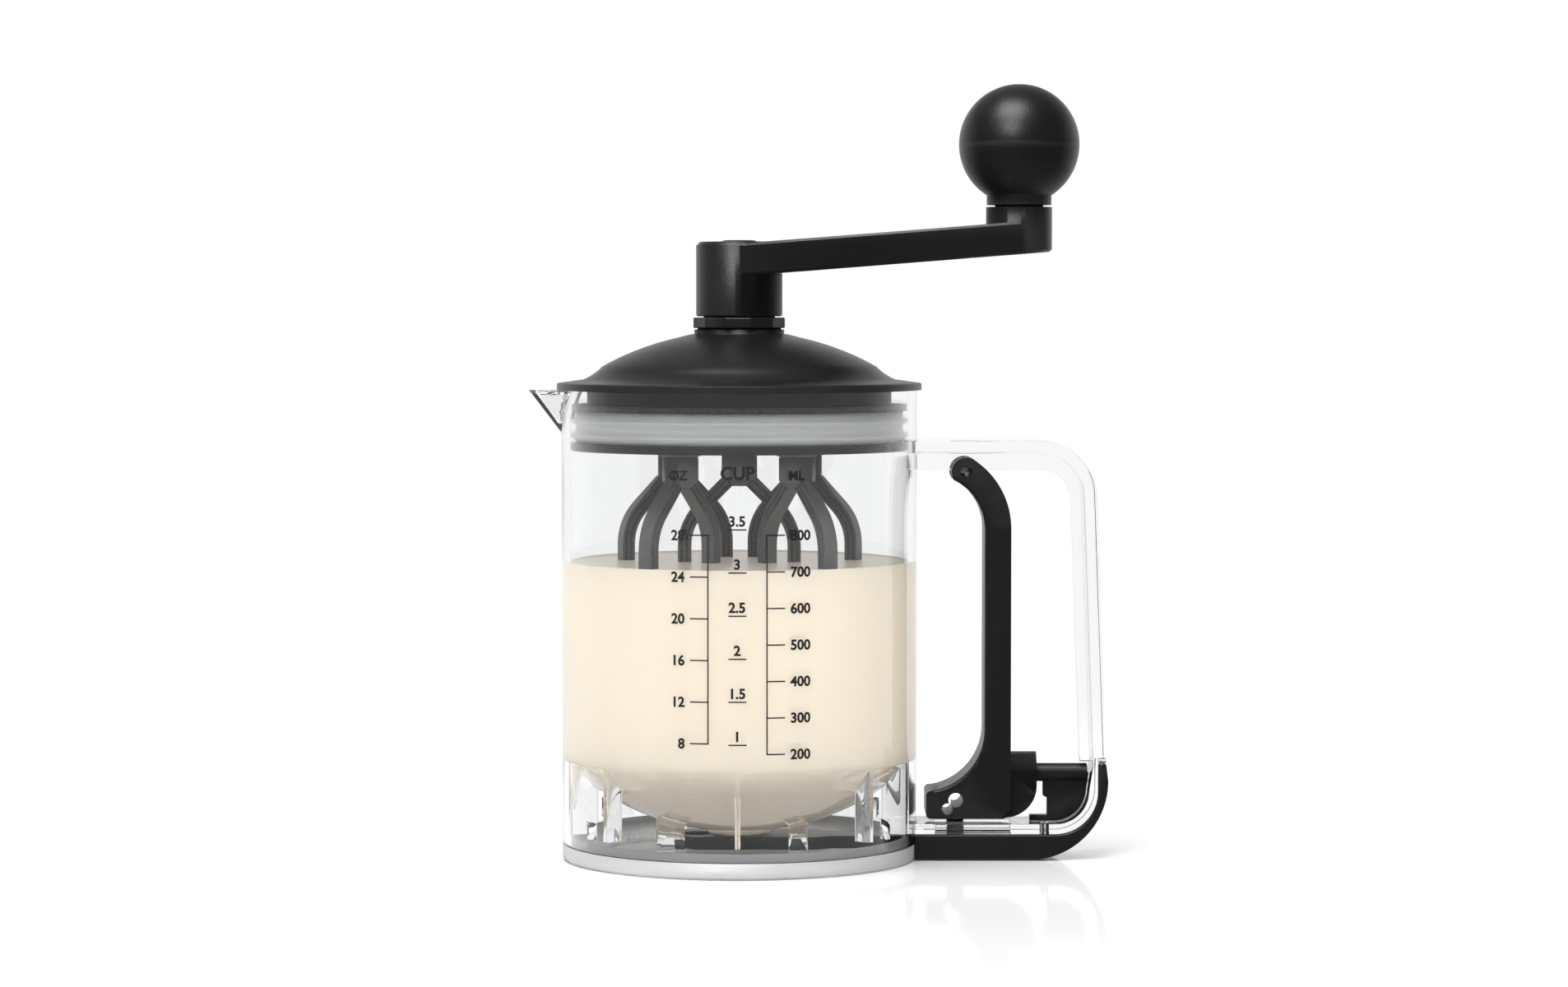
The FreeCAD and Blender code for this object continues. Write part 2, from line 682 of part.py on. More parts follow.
# The grip is cored from the rear in four pockets, with ribs between them.
for i in range(4):
    core = sketch(lever, "YZ_Plane", "core", shift=right + 1.0)
    low = tube_z + 12.0 + i * 16.2
    box_outline(core, -(lever_half - 2.0), low, lever_half - 2.0, low + 14.4)
    pocket(lever, core, lever_t - 1.2)
soften(lever, lambda e: e.Length > 24 and abs(abs(e.CenterOfMass.y) - 10.0) < 0.01
       and e.CenterOfMass.x < 76.0 and e.CenterOfMass.z > 24.0, 1.0)

# Return spring inside the tube, pressing on the lever's block: a wire coil along X.
spring_r = tube_r - 0.7 - 0.55
wire_r = 0.4
coil_start = pivot_x.value + 8.6
coil_end = pivot_x.value + 37.6
turns = 11
pitch = (coil_end - coil_start - 2 * wire_r) / turns
helix = Part.makeHelix(pitch, pitch * turns, spring_r.value)
tip = Part.Wire([Part.Circle(V(spring_r.value, 0, 0), V(0, 1, 0), wire_r).toShape()])
coil = Part.Wire(helix.Edges).makePipeShell([tip], True, True)
return_spring = node(doc.addObject("Part::Feature", "coil"), "return_spring")
return_spring.Shape = coil
return_spring.Placement = FreeCAD.Placement(V(coil_start + wire_r, 0, tube_z.value), FreeCAD.Rotation(V(0, 1, 0), 90))

# ================================================================ valve slide
# Flat tongue with the outlet port near its end and a narrow stem that the lever's foot drives.
slide = new_body("valve_slide")
tongue = sketch(slide, "XY_Plane", "tongue", shift=slide_z)
corner = 6.0
outline(tongue, [
    (-slide_end + corner, -slide_half),
    (24.0, -slide_half),
    (29.0, -stem_half),
    (pivot_x + 5.6, -stem_half),
    (pivot_x + 5.6, stem_half),
    (29.0, stem_half),
    (24.0, slide_half),
    (-slide_end + corner, slide_half),
    (-slide_end, slide_half - corner, corner, 1),
    (-slide_end, -slide_half + corner),
])
tongue.setExpression("AttachmentOffset.Base.z", slide_z.text)
pad(slide, tongue, slide_t)
port = sketch(slide, "XY_Plane", "port", shift=slide_z - 1.0)
ring(port, -travel, 0.0, port_r)
pocket(slide, port, slide_t + 2.0, back=True)
catch = sketch(slide, "XY_Plane", "catch", shift=slide_z - 1.0)
box_outline(catch, pivot_x - 3.0 - foot_half - 0.15, -3.6, pivot_x - 3.0 + foot_half + 0.15, 3.6)
pocket(slide, catch, slide_t + 2.0, back=True)

# ================================================================ lid
seat = rim_z + lid_gap
brim_t = 2.1
dome_points = [
    (brim_r - 0.3, seat + brim_t),
    (jug_r - 6.8, seat + 3.2),
    (jug_r - 12.8, seat + 7.3, 18.0, -1),
    (jug_r - 18.8, seat + 10.4, 90.0, 1),
    (jug_r - 36.7, seat + 16.4, 90.0, 1),
    (hub_r + 1.4, seat + 17.5, 90.0, 1),
]
dome_in = [
    (bush_r, seat + 15.2),
    (jug_r - 36.9, seat + 14.1),
    (jug_r - 19.7, seat + 8.4, 90.0, -1),
    (plug_r - 5.4, seat + 4.0),
    (plug_r - 3.0, seat),
]
top = turned_part("lid_dome", dome_in + [(brim_r, seat), (brim_r, seat + brim_t - 0.3)] + dome_points + [
    (collar_r - 0.7, seat + 17.5),
    (collar_r - 0.7, seat + 18.9),
    (collar_r - 1.7, seat + 18.9),
    (collar_r - 1.7, seat + 19.4),
    (bush_r, seat + 19.4),
])
# Twelve-sided collar nut that clamps the bush in the lid's neck.
nut = new_body("collar_nut")
flats = sketch(nut, "XY_Plane", "flats", shift=seat + 19.4)
outline(flats, [(collar_r * math.cos(math.radians(15 + 30 * i)), collar_r * math.sin(math.radians(15 + 30 * i)))
                for i in range(12)])
pad(nut, flats, hub_low - 0.4 - seat - 19.4)
# A raised ring inside the hub's skirt keeps crumbs out of the bush.
guard = sketch(nut, "XY_Plane", "guard", shift=hub_low - 0.6)
ring(guard, 0.0, 0.0, hub_r - 2.4)
pad(nut, guard, 2.6)
way = sketch(nut, "XY_Plane", "way", shift=seat)
ring(way, 0.0, 0.0, bush_r)
pocket(nut, way, 30.0, back=True)
# White acetal bush for the drive shaft.
turned_part("neck_bush", [
    (shaft_r + run_fit, seat + 12.4),
    (bush_r + 1.6, seat + 12.4),
    (bush_r + 1.6, seat + 14.6),
    (bush_r - 0.02, seat + 14.6),
    (bush_r - 0.02, hub_low - 0.5),
    (shaft_r + run_fit, hub_low - 0.5),
])
# Gear housing below the dome: a plug with a flange above the gasket.
gear_low = cover_low + gear_cover_t
flange_z = gear_low + 9.9
turned_part("gear_housing", [
    (cavity_r, gear_low),
    (core_r, gear_low),
    (core_r, flange_z),
    (flange_r, flange_z),
    (flange_r, flange_z + 1.8),
    (plug_r, flange_z + 2.2),
    (plug_r, seat),
    (plug_r - 3.1, seat),
    (plug_r - 3.1, flange_z + 4.6),
    (shaft_r + 5.6, flange_z + 4.6),
    (shaft_r + 5.6, flange_z + 2.2),
    (cavity_r, flange_z + 2.2),
])
# Grey translucent silicone gasket with two lips.
lip = inner_r - lip_gap
turned_part("lid_gasket", [
    (core_r + 0.02, gear_low + 0.02),
    (gasket_r - 0.4, gear_low + 0.02),
    (gasket_r, gear_low + 0.6),
    (lip, gear_low + 2.0),
    (lip, gear_low + 2.6),
    (gasket_r, gear_low + 3.3),
    (gasket_r, gear_low + 5.4),
    (lip, gear_low + 6.5),
    (lip, gear_low + 7.1),
    (gasket_r, gear_low + 7.8),
    (gasket_r, flange_z - 0.02),
    (core_r + 0.02, flange_z - 0.02),
])

# Whisk positions: centre, then the near pair and the far pair, each with the angle its loop stands at.
pinion_teeth = 22
ring_teeth = 66
pinion_r = gear_module * pinion_teeth / 2
wheel_r = gear_module * ring_teeth / 2
orbit = (pinion_r * 2).value
step = 360.0 / (pinion_teeth + ring_teeth)
whisks = [("centre", 0.0, 0.0, 0.0)]
for name, count, loop_turn in (
    ("near_right", -12, -58.0),
    ("near_left", -32, 58.0),
    ("far_right", 10, -26.0),
    ("far_left", 34, 26.0),
):
    whisks.append((name, orbit, step * count, loop_turn))

plate = turned_part("gear_cover", [
    (0.0, cover_low),
    (lip - 0.5, cover_low),
    (lip, cover_low + 0.5),
    (lip, gear_low - 0.4),
    (gasket_r, gear_low),
    (0.0, gear_low),
])
for name, reach, angle, loop_turn in whisks:
    way = sketch(plate, "XY_Plane", "whisk_way", shift=cover_low - 1.0)
    x = reach * math.cos(math.radians(angle))
    y = reach * math.sin(math.radians(angle))
    ring(way, x, y, stub_r + run_fit)
    pocket(plate, way, gear_cover_t + 2.0, back=True)
screw_ring = (core_r + cavity_r) / 2
for angle in (0, 90, 180, 270):
    way = sketch(plate, "XY_Plane", "screw_way", shift=cover_low - 1.0)
    x = screw_ring * math.cos(math.radians(angle))
    y = screw_ring * math.sin(math.radians(angle))
    ring(way, x, y, 1.2)
    pocket(plate, way, gear_cover_t + 2.0, back=True)
    sink = sketch(plate, "XY_Plane", "screw_sink", shift=cover_low - 1.0)
    ring(sink, x, y, 2.1)
    pocket(plate, sink, 2.3, back=True)
body = nodes[[n.Label for n in nodes].index("gear_housing")]
for angle in (0, 90, 180, 270):
    way = sketch(body, "XY_Plane", "thread", shift=gear_low - 1.0)
    ring(way, screw_ring * math.cos(math.radians(angle)), screw_ring * math.sin(math.radians(angle)), 1.1)
    pocket(body, way, 7.0, back=True)
for i, angle in enumerate((0, 90, 180, 270)):
    screw = turned_part("lid_screw_%d" % (i + 1), [
        (0.0, cover_low + 0.3),
        (1.9, cover_low + 0.3),
        (1.9, cover_low + 1.2),
        (1.05, cover_low + 1.3),
        (1.05, gear_low + 5.2),
        (0.0, gear_low + 5.8),
    ])
    drive = sketch(screw, "XY_Plane", "drive", shift=cover_low)
    box_outline(drive, -1.2, -0.25, 1.2, 0.25)
    pocket(screw, drive, 0.7, back=True)
    place(screw, screw_ring * math.cos(math.radians(angle)), screw_ring * math.sin(math.radians(angle)), 0)


# ================================================================ gears
def involute_tooth(teeth, tip, root, thickness):
    """One tooth as (angle, radius) points from its left root to its right root, for a 20 degree involute."""
    pitch_r = gear_module.value * teeth / 2
    base_r = pitch_r * math.cos(math.radians(20))
    at_pitch = math.tan(math.radians(20)) - math.radians(20)
    half = thickness / (2 * pitch_r)
    left = []
    for i in range(6):
        r = max(root, base_r) + (tip - max(root, base_r)) * i / 5
        pressure = math.acos(min(1.0, base_r / r))
        left.append((-(half + at_pitch - (math.tan(pressure) - pressure)), r))
    if root < base_r:
        left.insert(0, (left[0][0], root))
    return left + [(-a, r) for a, r in reversed(left)]


def toothed_face(teeth, tip, root, thickness, phase):
    points = []
    tooth = involute_tooth(teeth, tip, root, thickness)
    for i in range(teeth):
        centre = phase + 2 * math.pi * i / teeth
        for a, r in tooth:
            points.append(V(r * math.cos(centre + a), r * math.sin(centre + a), 0))
    points.append(points[0])
    return Part.Face(Part.makePolygon(points))


gear_z = gear_low + 0.4
m = gear_module.value
tooth_t = math.pi * m / 2 - backlash.value / 2
face = gear_face.value
# The ring gear's tooth spaces have the shape of an outer gear's teeth.
space = toothed_face(ring_teeth, wheel_r.value + 1.25 * m, wheel_r.value - m, math.pi * m / 2 + backlash.value / 2, 0)
rim_r = cavity_r - 0.5
rim_solid = Part.makeCylinder(rim_r.value, face + 2.4)
rim_solid = rim_solid.cut(space.extrude(V(0, 0, face + 0.4)))
rim_solid = rim_solid.cut(Part.makeCylinder(shaft_r.value - 1.0 + 0.02, face + 4))
for angle in range(0, 360, 60):
    hole = Part.makeCylinder(5.5, face + 4, V(25 * math.cos(math.radians(angle)), 25 * math.sin(math.radians(angle)), 0))
    rim_solid = rim_solid.cut(hole)
ring_gear = node(doc.addObject("Part::Feature", "wheel"), "ring_gear")
ring_gear.Shape = rim_solid
place(ring_gear, 0, 0, gear_z)

# Each pinion meshes with the ring: a tooth of the pinion stands in the ring's space on their common line.
for name, reach, angle, loop_turn in whisks:
    line = math.radians(angle)
    if reach:
        spaces = 2 * math.pi / ring_teeth
        nearest = round(line / spaces) * spaces
        phase = line + 3 * (nearest - line)
    else:
        first = whisks[1]
        line = math.radians(first[2])
        spaces = 2 * math.pi / ring_teeth
        nearest = round(line / spaces) * spaces
        planet = line + 3 * (nearest - line)
        inward = line + math.pi
        tooth = 2 * math.pi / pinion_teeth
        offset = (inward - planet) / tooth - round((inward - planet) / tooth)
        phase = line - offset * tooth + tooth / 2
    blank = toothed_face(pinion_teeth, pinion_r.value + m, pinion_r.value - 1.25 * m, tooth_t, phase)
    blank = blank.extrude(V(0, 0, face))
    blank = blank.cut(Part.makeCylinder(spigot_r.value + 0.02, face))
    dish = Part.makeCylinder(pinion_r.value - 3.2, 1.6, V(0, 0, face - 1.6))
    dish = dish.cut(Part.makeCylinder(spigot_r.value + 1.8, 1.6, V(0, 0, face - 1.6)))
    pinion = node(doc.addObject("Part::Feature", "pinion"), "pinion_" + name)
    pinion.Shape = blank.cut(dish)
    place(pinion, reach * math.cos(math.radians(angle)), reach * math.sin(math.radians(angle)), gear_z)


# ================================================================ whisks
def loop_side(inset):
    """Half widths and radii of the loop's outline a given distance inside its outer edge."""
    half = loop_w - inset
    bend = loop_bend - inset
    turn = 1 - math.sqrt(0.5)
    top_x = half - bend * turn
    bend_z = cover_low - 30.4
    top_z = bend_z + bend * math.sqrt(0.5)
    low_r = 9.0 - inset
    return half, bend, bend_z, top_x, top_z, low_r


def loop_points(inset, crown):
    half, bend, bend_z, top_x, top_z, low_r = loop_side(inset)
    rise = top_x - crown
    low = loop_low + inset
    return [
        (-half + low_r, low, low_r, 1),
        (half - low_r, low),
        (half, low + low_r, low_r, 1),
        (half, bend_z),
        (top_x, top_z, bend, 1),
        (crown, top_z + rise),
        (-crown, top_z + rise),
        (-top_x, top_z),
        (-half, bend_z, bend, 1),
        (-half, low + low_r),
    ]


for name, reach, angle, loop_turn in whisks:
    whisk = new_body("whisk_" + name)
    plate_loop = sketch(whisk, "XZ_Plane", "loop")
    outline(plate_loop, loop_points(size(0.0), stub_r))
    outline(plate_loop, loop_points(loop_t, size(2.2)))
    pad(whisk, plate_loop, vane_t, both=True)
    # Three ridges run along the arms.
    for near, far in ((0.0, 1.0), (1.6, 2.6), (3.2, 4.2)):
        rib = sketch(whisk, "XZ_Plane", "ridge")
        outline(rib, loop_points(size(near), stub_r - near * 0.8))
        outline(rib, loop_points(size(far), stub_r - far * 0.8))
        pad(whisk, rib, ridge_t, both=True)
    stub = sketch(whisk, "XZ_Plane", "stub")
    stub_low = cover_low - 8.9
    outline(stub, [
        (0.0, stub_low - 2.2),
        (3.2, stub_low - 2.2),
        (stub_r, stub_low),
        (stub_r, cover_low - 1.9),
        (stub_r - 0.35, cover_low - 1.7),
        (stub_r, cover_low - 1.5),
        (stub_r + 0.6, cover_low - 1.3),
        (stub_r + 0.6, cover_low - 0.3),
        (stub_r, cover_low - 0.3),
        (stub_r, gear_z),
        (spigot_r, gear_z),
        (spigot_r, gear_z + gear_face - 0.2),
        (0.0, gear_z + gear_face - 0.2),
    ])
    spin(whisk, stub)
    place(whisk, reach * math.cos(math.radians(angle)), reach * math.sin(math.radians(angle)), 0)
    whisk.Placement.Rotation = FreeCAD.Rotation(V(0, 0, 1), loop_turn)

# ================================================================ crank
arm = new_body("crank_arm")
tilt = math.asin((hub_r - boss_out).value / arm_reach.value)
plan = sketch(arm, "XY_Plane", "plan", shift=hub_low)
outline(plan, [
    (hub_r * math.sin(tilt), -(hub_r * math.cos(tilt))),
    (arm_reach + boss_out * math.sin(tilt), -(boss_out * math.cos(tilt))),
    (arm_reach + boss_out * math.sin(tilt), boss_out * math.cos(tilt), boss_out, 1),
    (hub_r * math.sin(tilt), hub_r * math.cos(tilt)),
])
pad(arm, plan, boss_top - hub_low)
arm_low = hub_top - 10.7
slope = sketch(arm, "XZ_Plane", "under_arm")
outline(slope, [
    (-20.0, hub_low - 1.0),
    (arm_reach + 20.0, hub_low - 1.0),
    (arm_reach + 20.0, arm_low + arm_rise * 1.18),
    (-20.0, arm_low - arm_rise * 0.23),
])
pocket(arm, slope, 60.0, both=True)
slope = sketch(arm, "XZ_Plane", "over_arm")
outline(slope, [
    (-20.0, arm_low + arm_t - arm_rise * 0.23),
    (arm_reach + 20.0, arm_low + arm_t + arm_rise * 1.18),
    (arm_reach + 20.0, boss_top + 5.0),
    (-20.0, boss_top + 5.0),
])
pocket(arm, slope, 60.0, both=True)
soften(arm, lambda e: e.Length > 60, 0.8, "PartDesign::Chamfer")
hub = sketch(arm, "XZ_Plane", "hub")
outline(hub, [
    (0.0, hub_low),
    (hub_r - 0.4, hub_low),
    (hub_r, hub_low + 0.4),
    (hub_r, hub_top - 1.2),
    (hub_r - 1.2, hub_top),
    (0.0, hub_top),
])
spin(arm, hub)
boss = sketch(arm, "XY_Plane", "boss", shift=boss_low)
ring(boss, arm_reach, 0.0, boss_out)
pad(arm, boss, boss_top - boss_low)
# A raised ring that stands in the knob's recess.
boss_ring = sketch(arm, "XY_Plane", "boss_ring", shift=boss_top - 0.5)
ring(boss_ring, arm_reach, 0.0, neck_r - 2.6)
pad(arm, boss_ring, 1.7)
inside = sketch(arm, "XZ_Plane", "inside")
outline(inside, [
    (0.0, hub_low - 1.0),
    (hub_r - 2.0, hub_low - 1.0),
    (hub_r - 2.0, hub_low + 8.0),
    (shaft_r + 0.02, hub_low + 10.0),
    (shaft_r + 0.02, hub_top - 8.0),
    (2.1, hub_top - 8.0),
    (2.1, hub_top - 5.0),
    (5.6, hub_top - 5.0),
    (5.6, hub_top + 1.0),
    (0.0, hub_top + 1.0),
])
spin(arm, inside, "PartDesign::Groove")
rivet = sketch(arm, "XY_Plane", "rivet_way", shift=boss_low - 1.0)
ring(rivet, arm_reach, 0.0, rivet_r)
pocket(arm, rivet, boss_top - boss_low + 4.0, back=True)
rivet = sketch(arm, "XY_Plane", "rivet_sink", shift=boss_low - 2.0)
ring(rivet, arm_reach, 0.0, rivet_r + 2.2)
pocket(arm, rivet, 5.4, back=True)
# Lightening pocket along the arm's underside.
cored = sketch(arm, "XY_Plane", "cored", shift=arm_low - 4.0)
outline(cored, [(hub_r + 5.0, -6.4), (arm_reach - 17.0, -5.6), (arm_reach - 17.0, 5.6), (hub_r + 5.0, 6.4)])
pocket(arm, cored, 10.0, back=True)

# Shaft from the crank down through the bush to the ring gear's web, keyed by a flange below the bush.
web_z = gear_z + gear_face + 0.4
turned_part("drive_shaft", [
    (0.0, web_z + 0.1),
    (shaft_r - 1.0, web_z + 0.1),
    (shaft_r - 1.0, web_z + 2.02),
    (shaft_r + 3.4, web_z + 2.02),
    (shaft_r + 3.4, web_z + 4.0),
    (shaft_r, web_z + 4.0),
    (shaft_r, hub_top - 8.2),
    (1.6, hub_top - 8.2),
    (1.6, hub_top - 24.0),
    (0.0, hub_top - 24.0),
])
turned_part("crank_screw", [
    (0.0, hub_top - 22.0),
    (1.55, hub_top - 22.0),
    (1.55, hub_top - 4.98),
    (4.2, hub_top - 4.98),
    (4.2, hub_top - 3.4),
    (3.2, hub_top - 2.6),
    (0.0, hub_top - 2.6),
])
turned_part("hub_cap", [
    (0.0, hub_top - 1.4),
    (5.55, hub_top - 1.4),
    (5.55, hub_top + 0.1),
    (4.9, hub_top + 0.5),
    (0.0, hub_top + 0.5),
])
# Rivet that the knob turns on; its head is sunk in the boss.
ball_low = boss_top + knob_gap
rod = turned_part("knob_pin", [
    (0.0, boss_low + 0.6),
    (rivet_r + 2.0, boss_low + 0.6),
    (rivet_r + 2.0, boss_low + 3.38),
    (rivet_r, boss_low + 3.38),
    (rivet_r, ball_z + 9.0),
    (rivet_r + 1.6, ball_z + 9.0),
    (rivet_r + 1.0, ball_z + 11.2),
    (0.0, ball_z + 11.2),
])
place(rod, arm_reach, 0, 0)

# ================================================================ knob
# Two shells that meet at the ball's equator; the lower one has the neck and the tube that turns on the rivet.
skin = 2.4
low_knob = turned_part("knob_lower", [
    (rivet_r + run_fit, ball_low + 1.2),
    (neck_r - 2.2, ball_low + 1.2),
    (neck_r - 2.2, ball_low),
    (neck_r, ball_low),
    (neck_r, ball_z - 15.97),
    (ball_r, ball_z, ball_r, 1),
    (ball_r - skin, ball_z),
    (neck_r - skin, ball_z - 14.61, ball_r - skin, -1),
    (rivet_r + 2.0, ball_z - 14.61),
    (rivet_r + 2.0, ball_z + 8.8),
    (rivet_r + run_fit, ball_z + 8.8),
])
place(low_knob, arm_reach, 0, 0)
crown_flat = 2.0
high_knob = turned_part("knob_upper", [
    (ball_r - skin, ball_z + 0.02, ball_r - skin, -1),
    (ball_r, ball_z + 0.02),
    (crown_flat, ball_z + ball_r - 0.1, ball_r, 1),
    (0.0, ball_z + ball_r - 0.1),
    (0.0, ball_z + ball_r - skin - 0.1),
    (crown_flat, ball_z + ball_r - skin - 0.1),
])
place(high_knob, arm_reach, 0, 0)

# ================================================================ check and write
doc.recompute()
faults = []
for thing in doc.Objects:
    if "Invalid" in thing.State or "Error" in thing.State:
        faults.append(thing.Name + " " + str(thing.State))
for piece in nodes:
    if piece.Shape.isNull() or not piece.Shape.isValid():
        faults.append(piece.Label + " has no valid shape")
if faults:
    raise RuntimeError("; ".join(faults))
os.makedirs("parts", exist_ok=True)
for piece in nodes:
    piece.Shape.exportStep("parts/" + piece.Label + ".step")
    print("%-22s %2d solids %10.1f mm3" % (piece.Label, len(piece.Shape.Solids), piece.Shape.Volume))
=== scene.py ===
import math

import bmesh
import bpy
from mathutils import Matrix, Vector


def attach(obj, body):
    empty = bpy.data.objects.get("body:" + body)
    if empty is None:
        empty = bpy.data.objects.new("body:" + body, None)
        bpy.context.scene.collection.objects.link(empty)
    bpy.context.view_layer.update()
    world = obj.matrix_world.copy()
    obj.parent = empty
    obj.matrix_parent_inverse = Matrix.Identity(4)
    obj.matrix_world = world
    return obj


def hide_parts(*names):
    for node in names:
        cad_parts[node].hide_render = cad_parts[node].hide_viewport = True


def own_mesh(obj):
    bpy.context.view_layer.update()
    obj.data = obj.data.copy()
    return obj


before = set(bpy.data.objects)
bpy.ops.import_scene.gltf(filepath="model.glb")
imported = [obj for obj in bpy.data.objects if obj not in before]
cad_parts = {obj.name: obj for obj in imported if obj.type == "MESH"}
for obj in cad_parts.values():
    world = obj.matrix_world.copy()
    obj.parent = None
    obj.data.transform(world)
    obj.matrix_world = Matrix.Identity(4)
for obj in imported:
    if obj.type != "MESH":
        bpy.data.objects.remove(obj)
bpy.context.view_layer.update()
scene = bpy.context.scene


# ---------------------------------------------------------------- studio
# White sweep of a table-top studio: a satin floor and an even pale surround, a little darker overhead
# and below the horizon.  Soft boxes light it from both sides, from above, from the front and from behind.
def add_node(tree, kind, inputs=None, **settings):
    """A shader node with its settings and the values of its inputs."""
    made = tree.nodes.new("ShaderNode" + kind)
    for setting, value in settings.items():
        setattr(made, setting, value)
    for label, value in (inputs or {}).items():
        made.inputs[label].default_value = value
    return made


def join(tree, *pairs):
    """Links, each from an output to an input."""
    for source, target in pairs:
        tree.links.new(source, target)


def placed(name, work):
    """A new object at the origin, with the shape drawn so far as its mesh."""
    mesh = bpy.data.meshes.new(name)
    work.to_mesh(mesh)
    work.free()
    obj = bpy.data.objects.new(name, mesh)
    scene.collection.objects.link(obj)
    return obj


scene.view_settings.view_transform = "Standard"
scene.view_settings.look = "None"
camera_data = bpy.data.cameras.new("camera")
camera_data.sensor_width = 36.0
camera_data.lens = 94.6
camera_data.clip_end = 20.0
camera = bpy.data.objects.new("camera", camera_data)
scene.collection.objects.link(camera)
degrees_down = 2.64
camera.location = (0.0141, -1.3, 0.175)
camera.rotation_euler = (math.radians(90 - degrees_down), 0.0, 0.0)
scene.camera = camera

world = bpy.data.worlds.new("studio")
scene.world = world
world.use_nodes = True
tree = world.node_tree
toward = add_node(tree, "TexCoord")
split = add_node(tree, "SeparateXYZ")
shift = add_node(tree, "MapRange", {"From Min": -1.0})
height = add_node(tree, "ValToRGB")
sky = height.color_ramp.elements
sky[0].position, sky[0].color = 0.30, (0.55, 0.55, 0.56, 1)
sky[1].position, sky[1].color = 0.47, (1, 1, 1, 1)
for spot, tone in ((0.62, 1.0), (0.72, 0.45), (1.0, 0.25)):
    stop = sky.new(spot)
    stop.color = (tone, tone, tone * 1.01, 1)
# Dark flags at the front keep reflections low on black parts and draw the edges of clear ones.  The
# backdrop stays white, and so does the surround itself, seen straight or through clear plastic.
rays = add_node(tree, "LightPath")
seen = add_node(tree, "Math", operation="MAXIMUM")
white = add_node(tree, "Mix", data_type="RGBA")
white.inputs["B"].default_value = (1, 1, 1, 1)
mirrored = add_node(tree, "Math", operation="SUBTRACT", use_clamp=True)
backdrop = add_node(tree, "MapRange", {"From Min": -0.1, "From Max": 0.7, "To Min": -0.92, "To Max": 0.0},
                    interpolation_type="SMOOTHSTEP")
flags = add_node(tree, "Math", {2: 1.0}, operation="MULTIPLY_ADD")
background = tree.nodes["Background"]
join(
    tree,
    (toward.outputs["Generated"], split.inputs["Vector"]),
    (split.outputs["Z"], shift.inputs["Value"]),
    (shift.outputs["Result"], height.inputs["Fac"]),
    (rays.outputs["Is Camera Ray"], seen.inputs[0]),
    (rays.outputs["Is Transmission Ray"], seen.inputs[1]),
    (seen.outputs[0], white.inputs["Factor"]),
    (height.outputs["Color"], white.inputs["A"]),
    (white.outputs["Result"], background.inputs["Color"]),
    (rays.outputs["Is Glossy Ray"], mirrored.inputs[0]),
    (rays.outputs["Is Transmission Ray"], mirrored.inputs[1]),
    (split.outputs["Y"], backdrop.inputs["Value"]),
    (mirrored.outputs[0], flags.inputs[0]),
    (backdrop.outputs["Result"], flags.inputs[1]),
    (flags.outputs[0], background.inputs["Strength"]),
)


def soft_box(name, place, aim, width, tall, power, mirrored=True):
    """An area light that faces a point on the object; gloss may or may not mirror it."""
    lamp = bpy.data.lights.new(name, "AREA")
    lamp.shape = "RECTANGLE"
    lamp.size, lamp.size_y, lamp.energy = width, tall, power
    obj = bpy.data.objects.new(name, lamp)
    scene.collection.objects.link(obj)
    obj.location = place
    obj.rotation_euler = (Vector(aim) - Vector(place)).to_track_quat("-Z", "Y").to_euler()
    obj.visible_glossy = mirrored
    obj.visible_transmission = False


soft_box("left_box", (-1.0, -0.7, 0.45), (0, 0, 0.12), 0.6, 0.9, 6.0, mirrored=False)
soft_box("right_box", (1.0, -0.6, 0.40), (0.03, 0, 0.12), 0.6, 0.9, 5.0, mirrored=False)
soft_box("top_box", (-0.15, -0.35, 1.15), (0, 0, 0.15), 0.7, 0.6, 17.0)
soft_box("front_box", (-0.35, -1.1, 0.95), (0, 0, 0.15), 0.6, 0.4, 13.0)
soft_box("back_box", (0.1, 0.9, 0.8), (0, 0, 0.12), 0.9, 0.5, 5.0, mirrored=False)

work = bmesh.new()
bmesh.ops.create_circle(work, cap_ends=True, segments=96, radius=1.0)
floor = placed("floor", work)
floor.location.z = -0.0002
white_floor = bpy.data.materials.new("white_floor")
white_floor.use_nodes = True
tree = white_floor.node_tree
shader = tree.nodes["Principled BSDF"]
shader.inputs["Base Color"].default_value = (0.72, 0.72, 0.725, 1)
shader.inputs["Roughness"].default_value = 0.08
shader.inputs["Specular IOR Level"].default_value = 0.35
where = add_node(tree, "TexCoord")
away = add_node(tree, "VectorMath", operation="LENGTH")
fade = add_node(tree, "MapRange", {"From Min": 0.22, "From Max": 0.60, "To Min": 1.0, "To Max": 0.0},
                interpolation_type="SMOOTHSTEP")
# Gloss mirrors the dim flags below the front of the table in place of the lit floor.
rays = add_node(tree, "LightPath")
mirrored = add_node(tree, "Math", operation="SUBTRACT", use_clamp=True)
kept = add_node(tree, "Math", {1: -0.8, 2: 1.0}, operation="MULTIPLY_ADD")
lit = add_node(tree, "Math", operation="MULTIPLY")
# From below the table top isn't there, so the underside can be seen.
side = add_node(tree, "NewGeometry")
from_above = add_node(tree, "Math", operation="SUBTRACT", use_clamp=True)
join(
    tree,
    (where.outputs["Object"], away.inputs[0]),
    (away.outputs["Value"], fade.inputs["Value"]),
    (rays.outputs["Is Glossy Ray"], mirrored.inputs[0]),
    (rays.outputs["Is Transmission Ray"], mirrored.inputs[1]),
    (mirrored.outputs[0], kept.inputs[0]),
    (fade.outputs["Result"], lit.inputs[0]),
    (kept.outputs[0], lit.inputs[1]),
    (lit.outputs[0], from_above.inputs[0]),
    (side.outputs["Backfacing"], from_above.inputs[1]),
    (from_above.outputs[0], shader.inputs["Alpha"]),
)
floor.data.materials.append(white_floor)


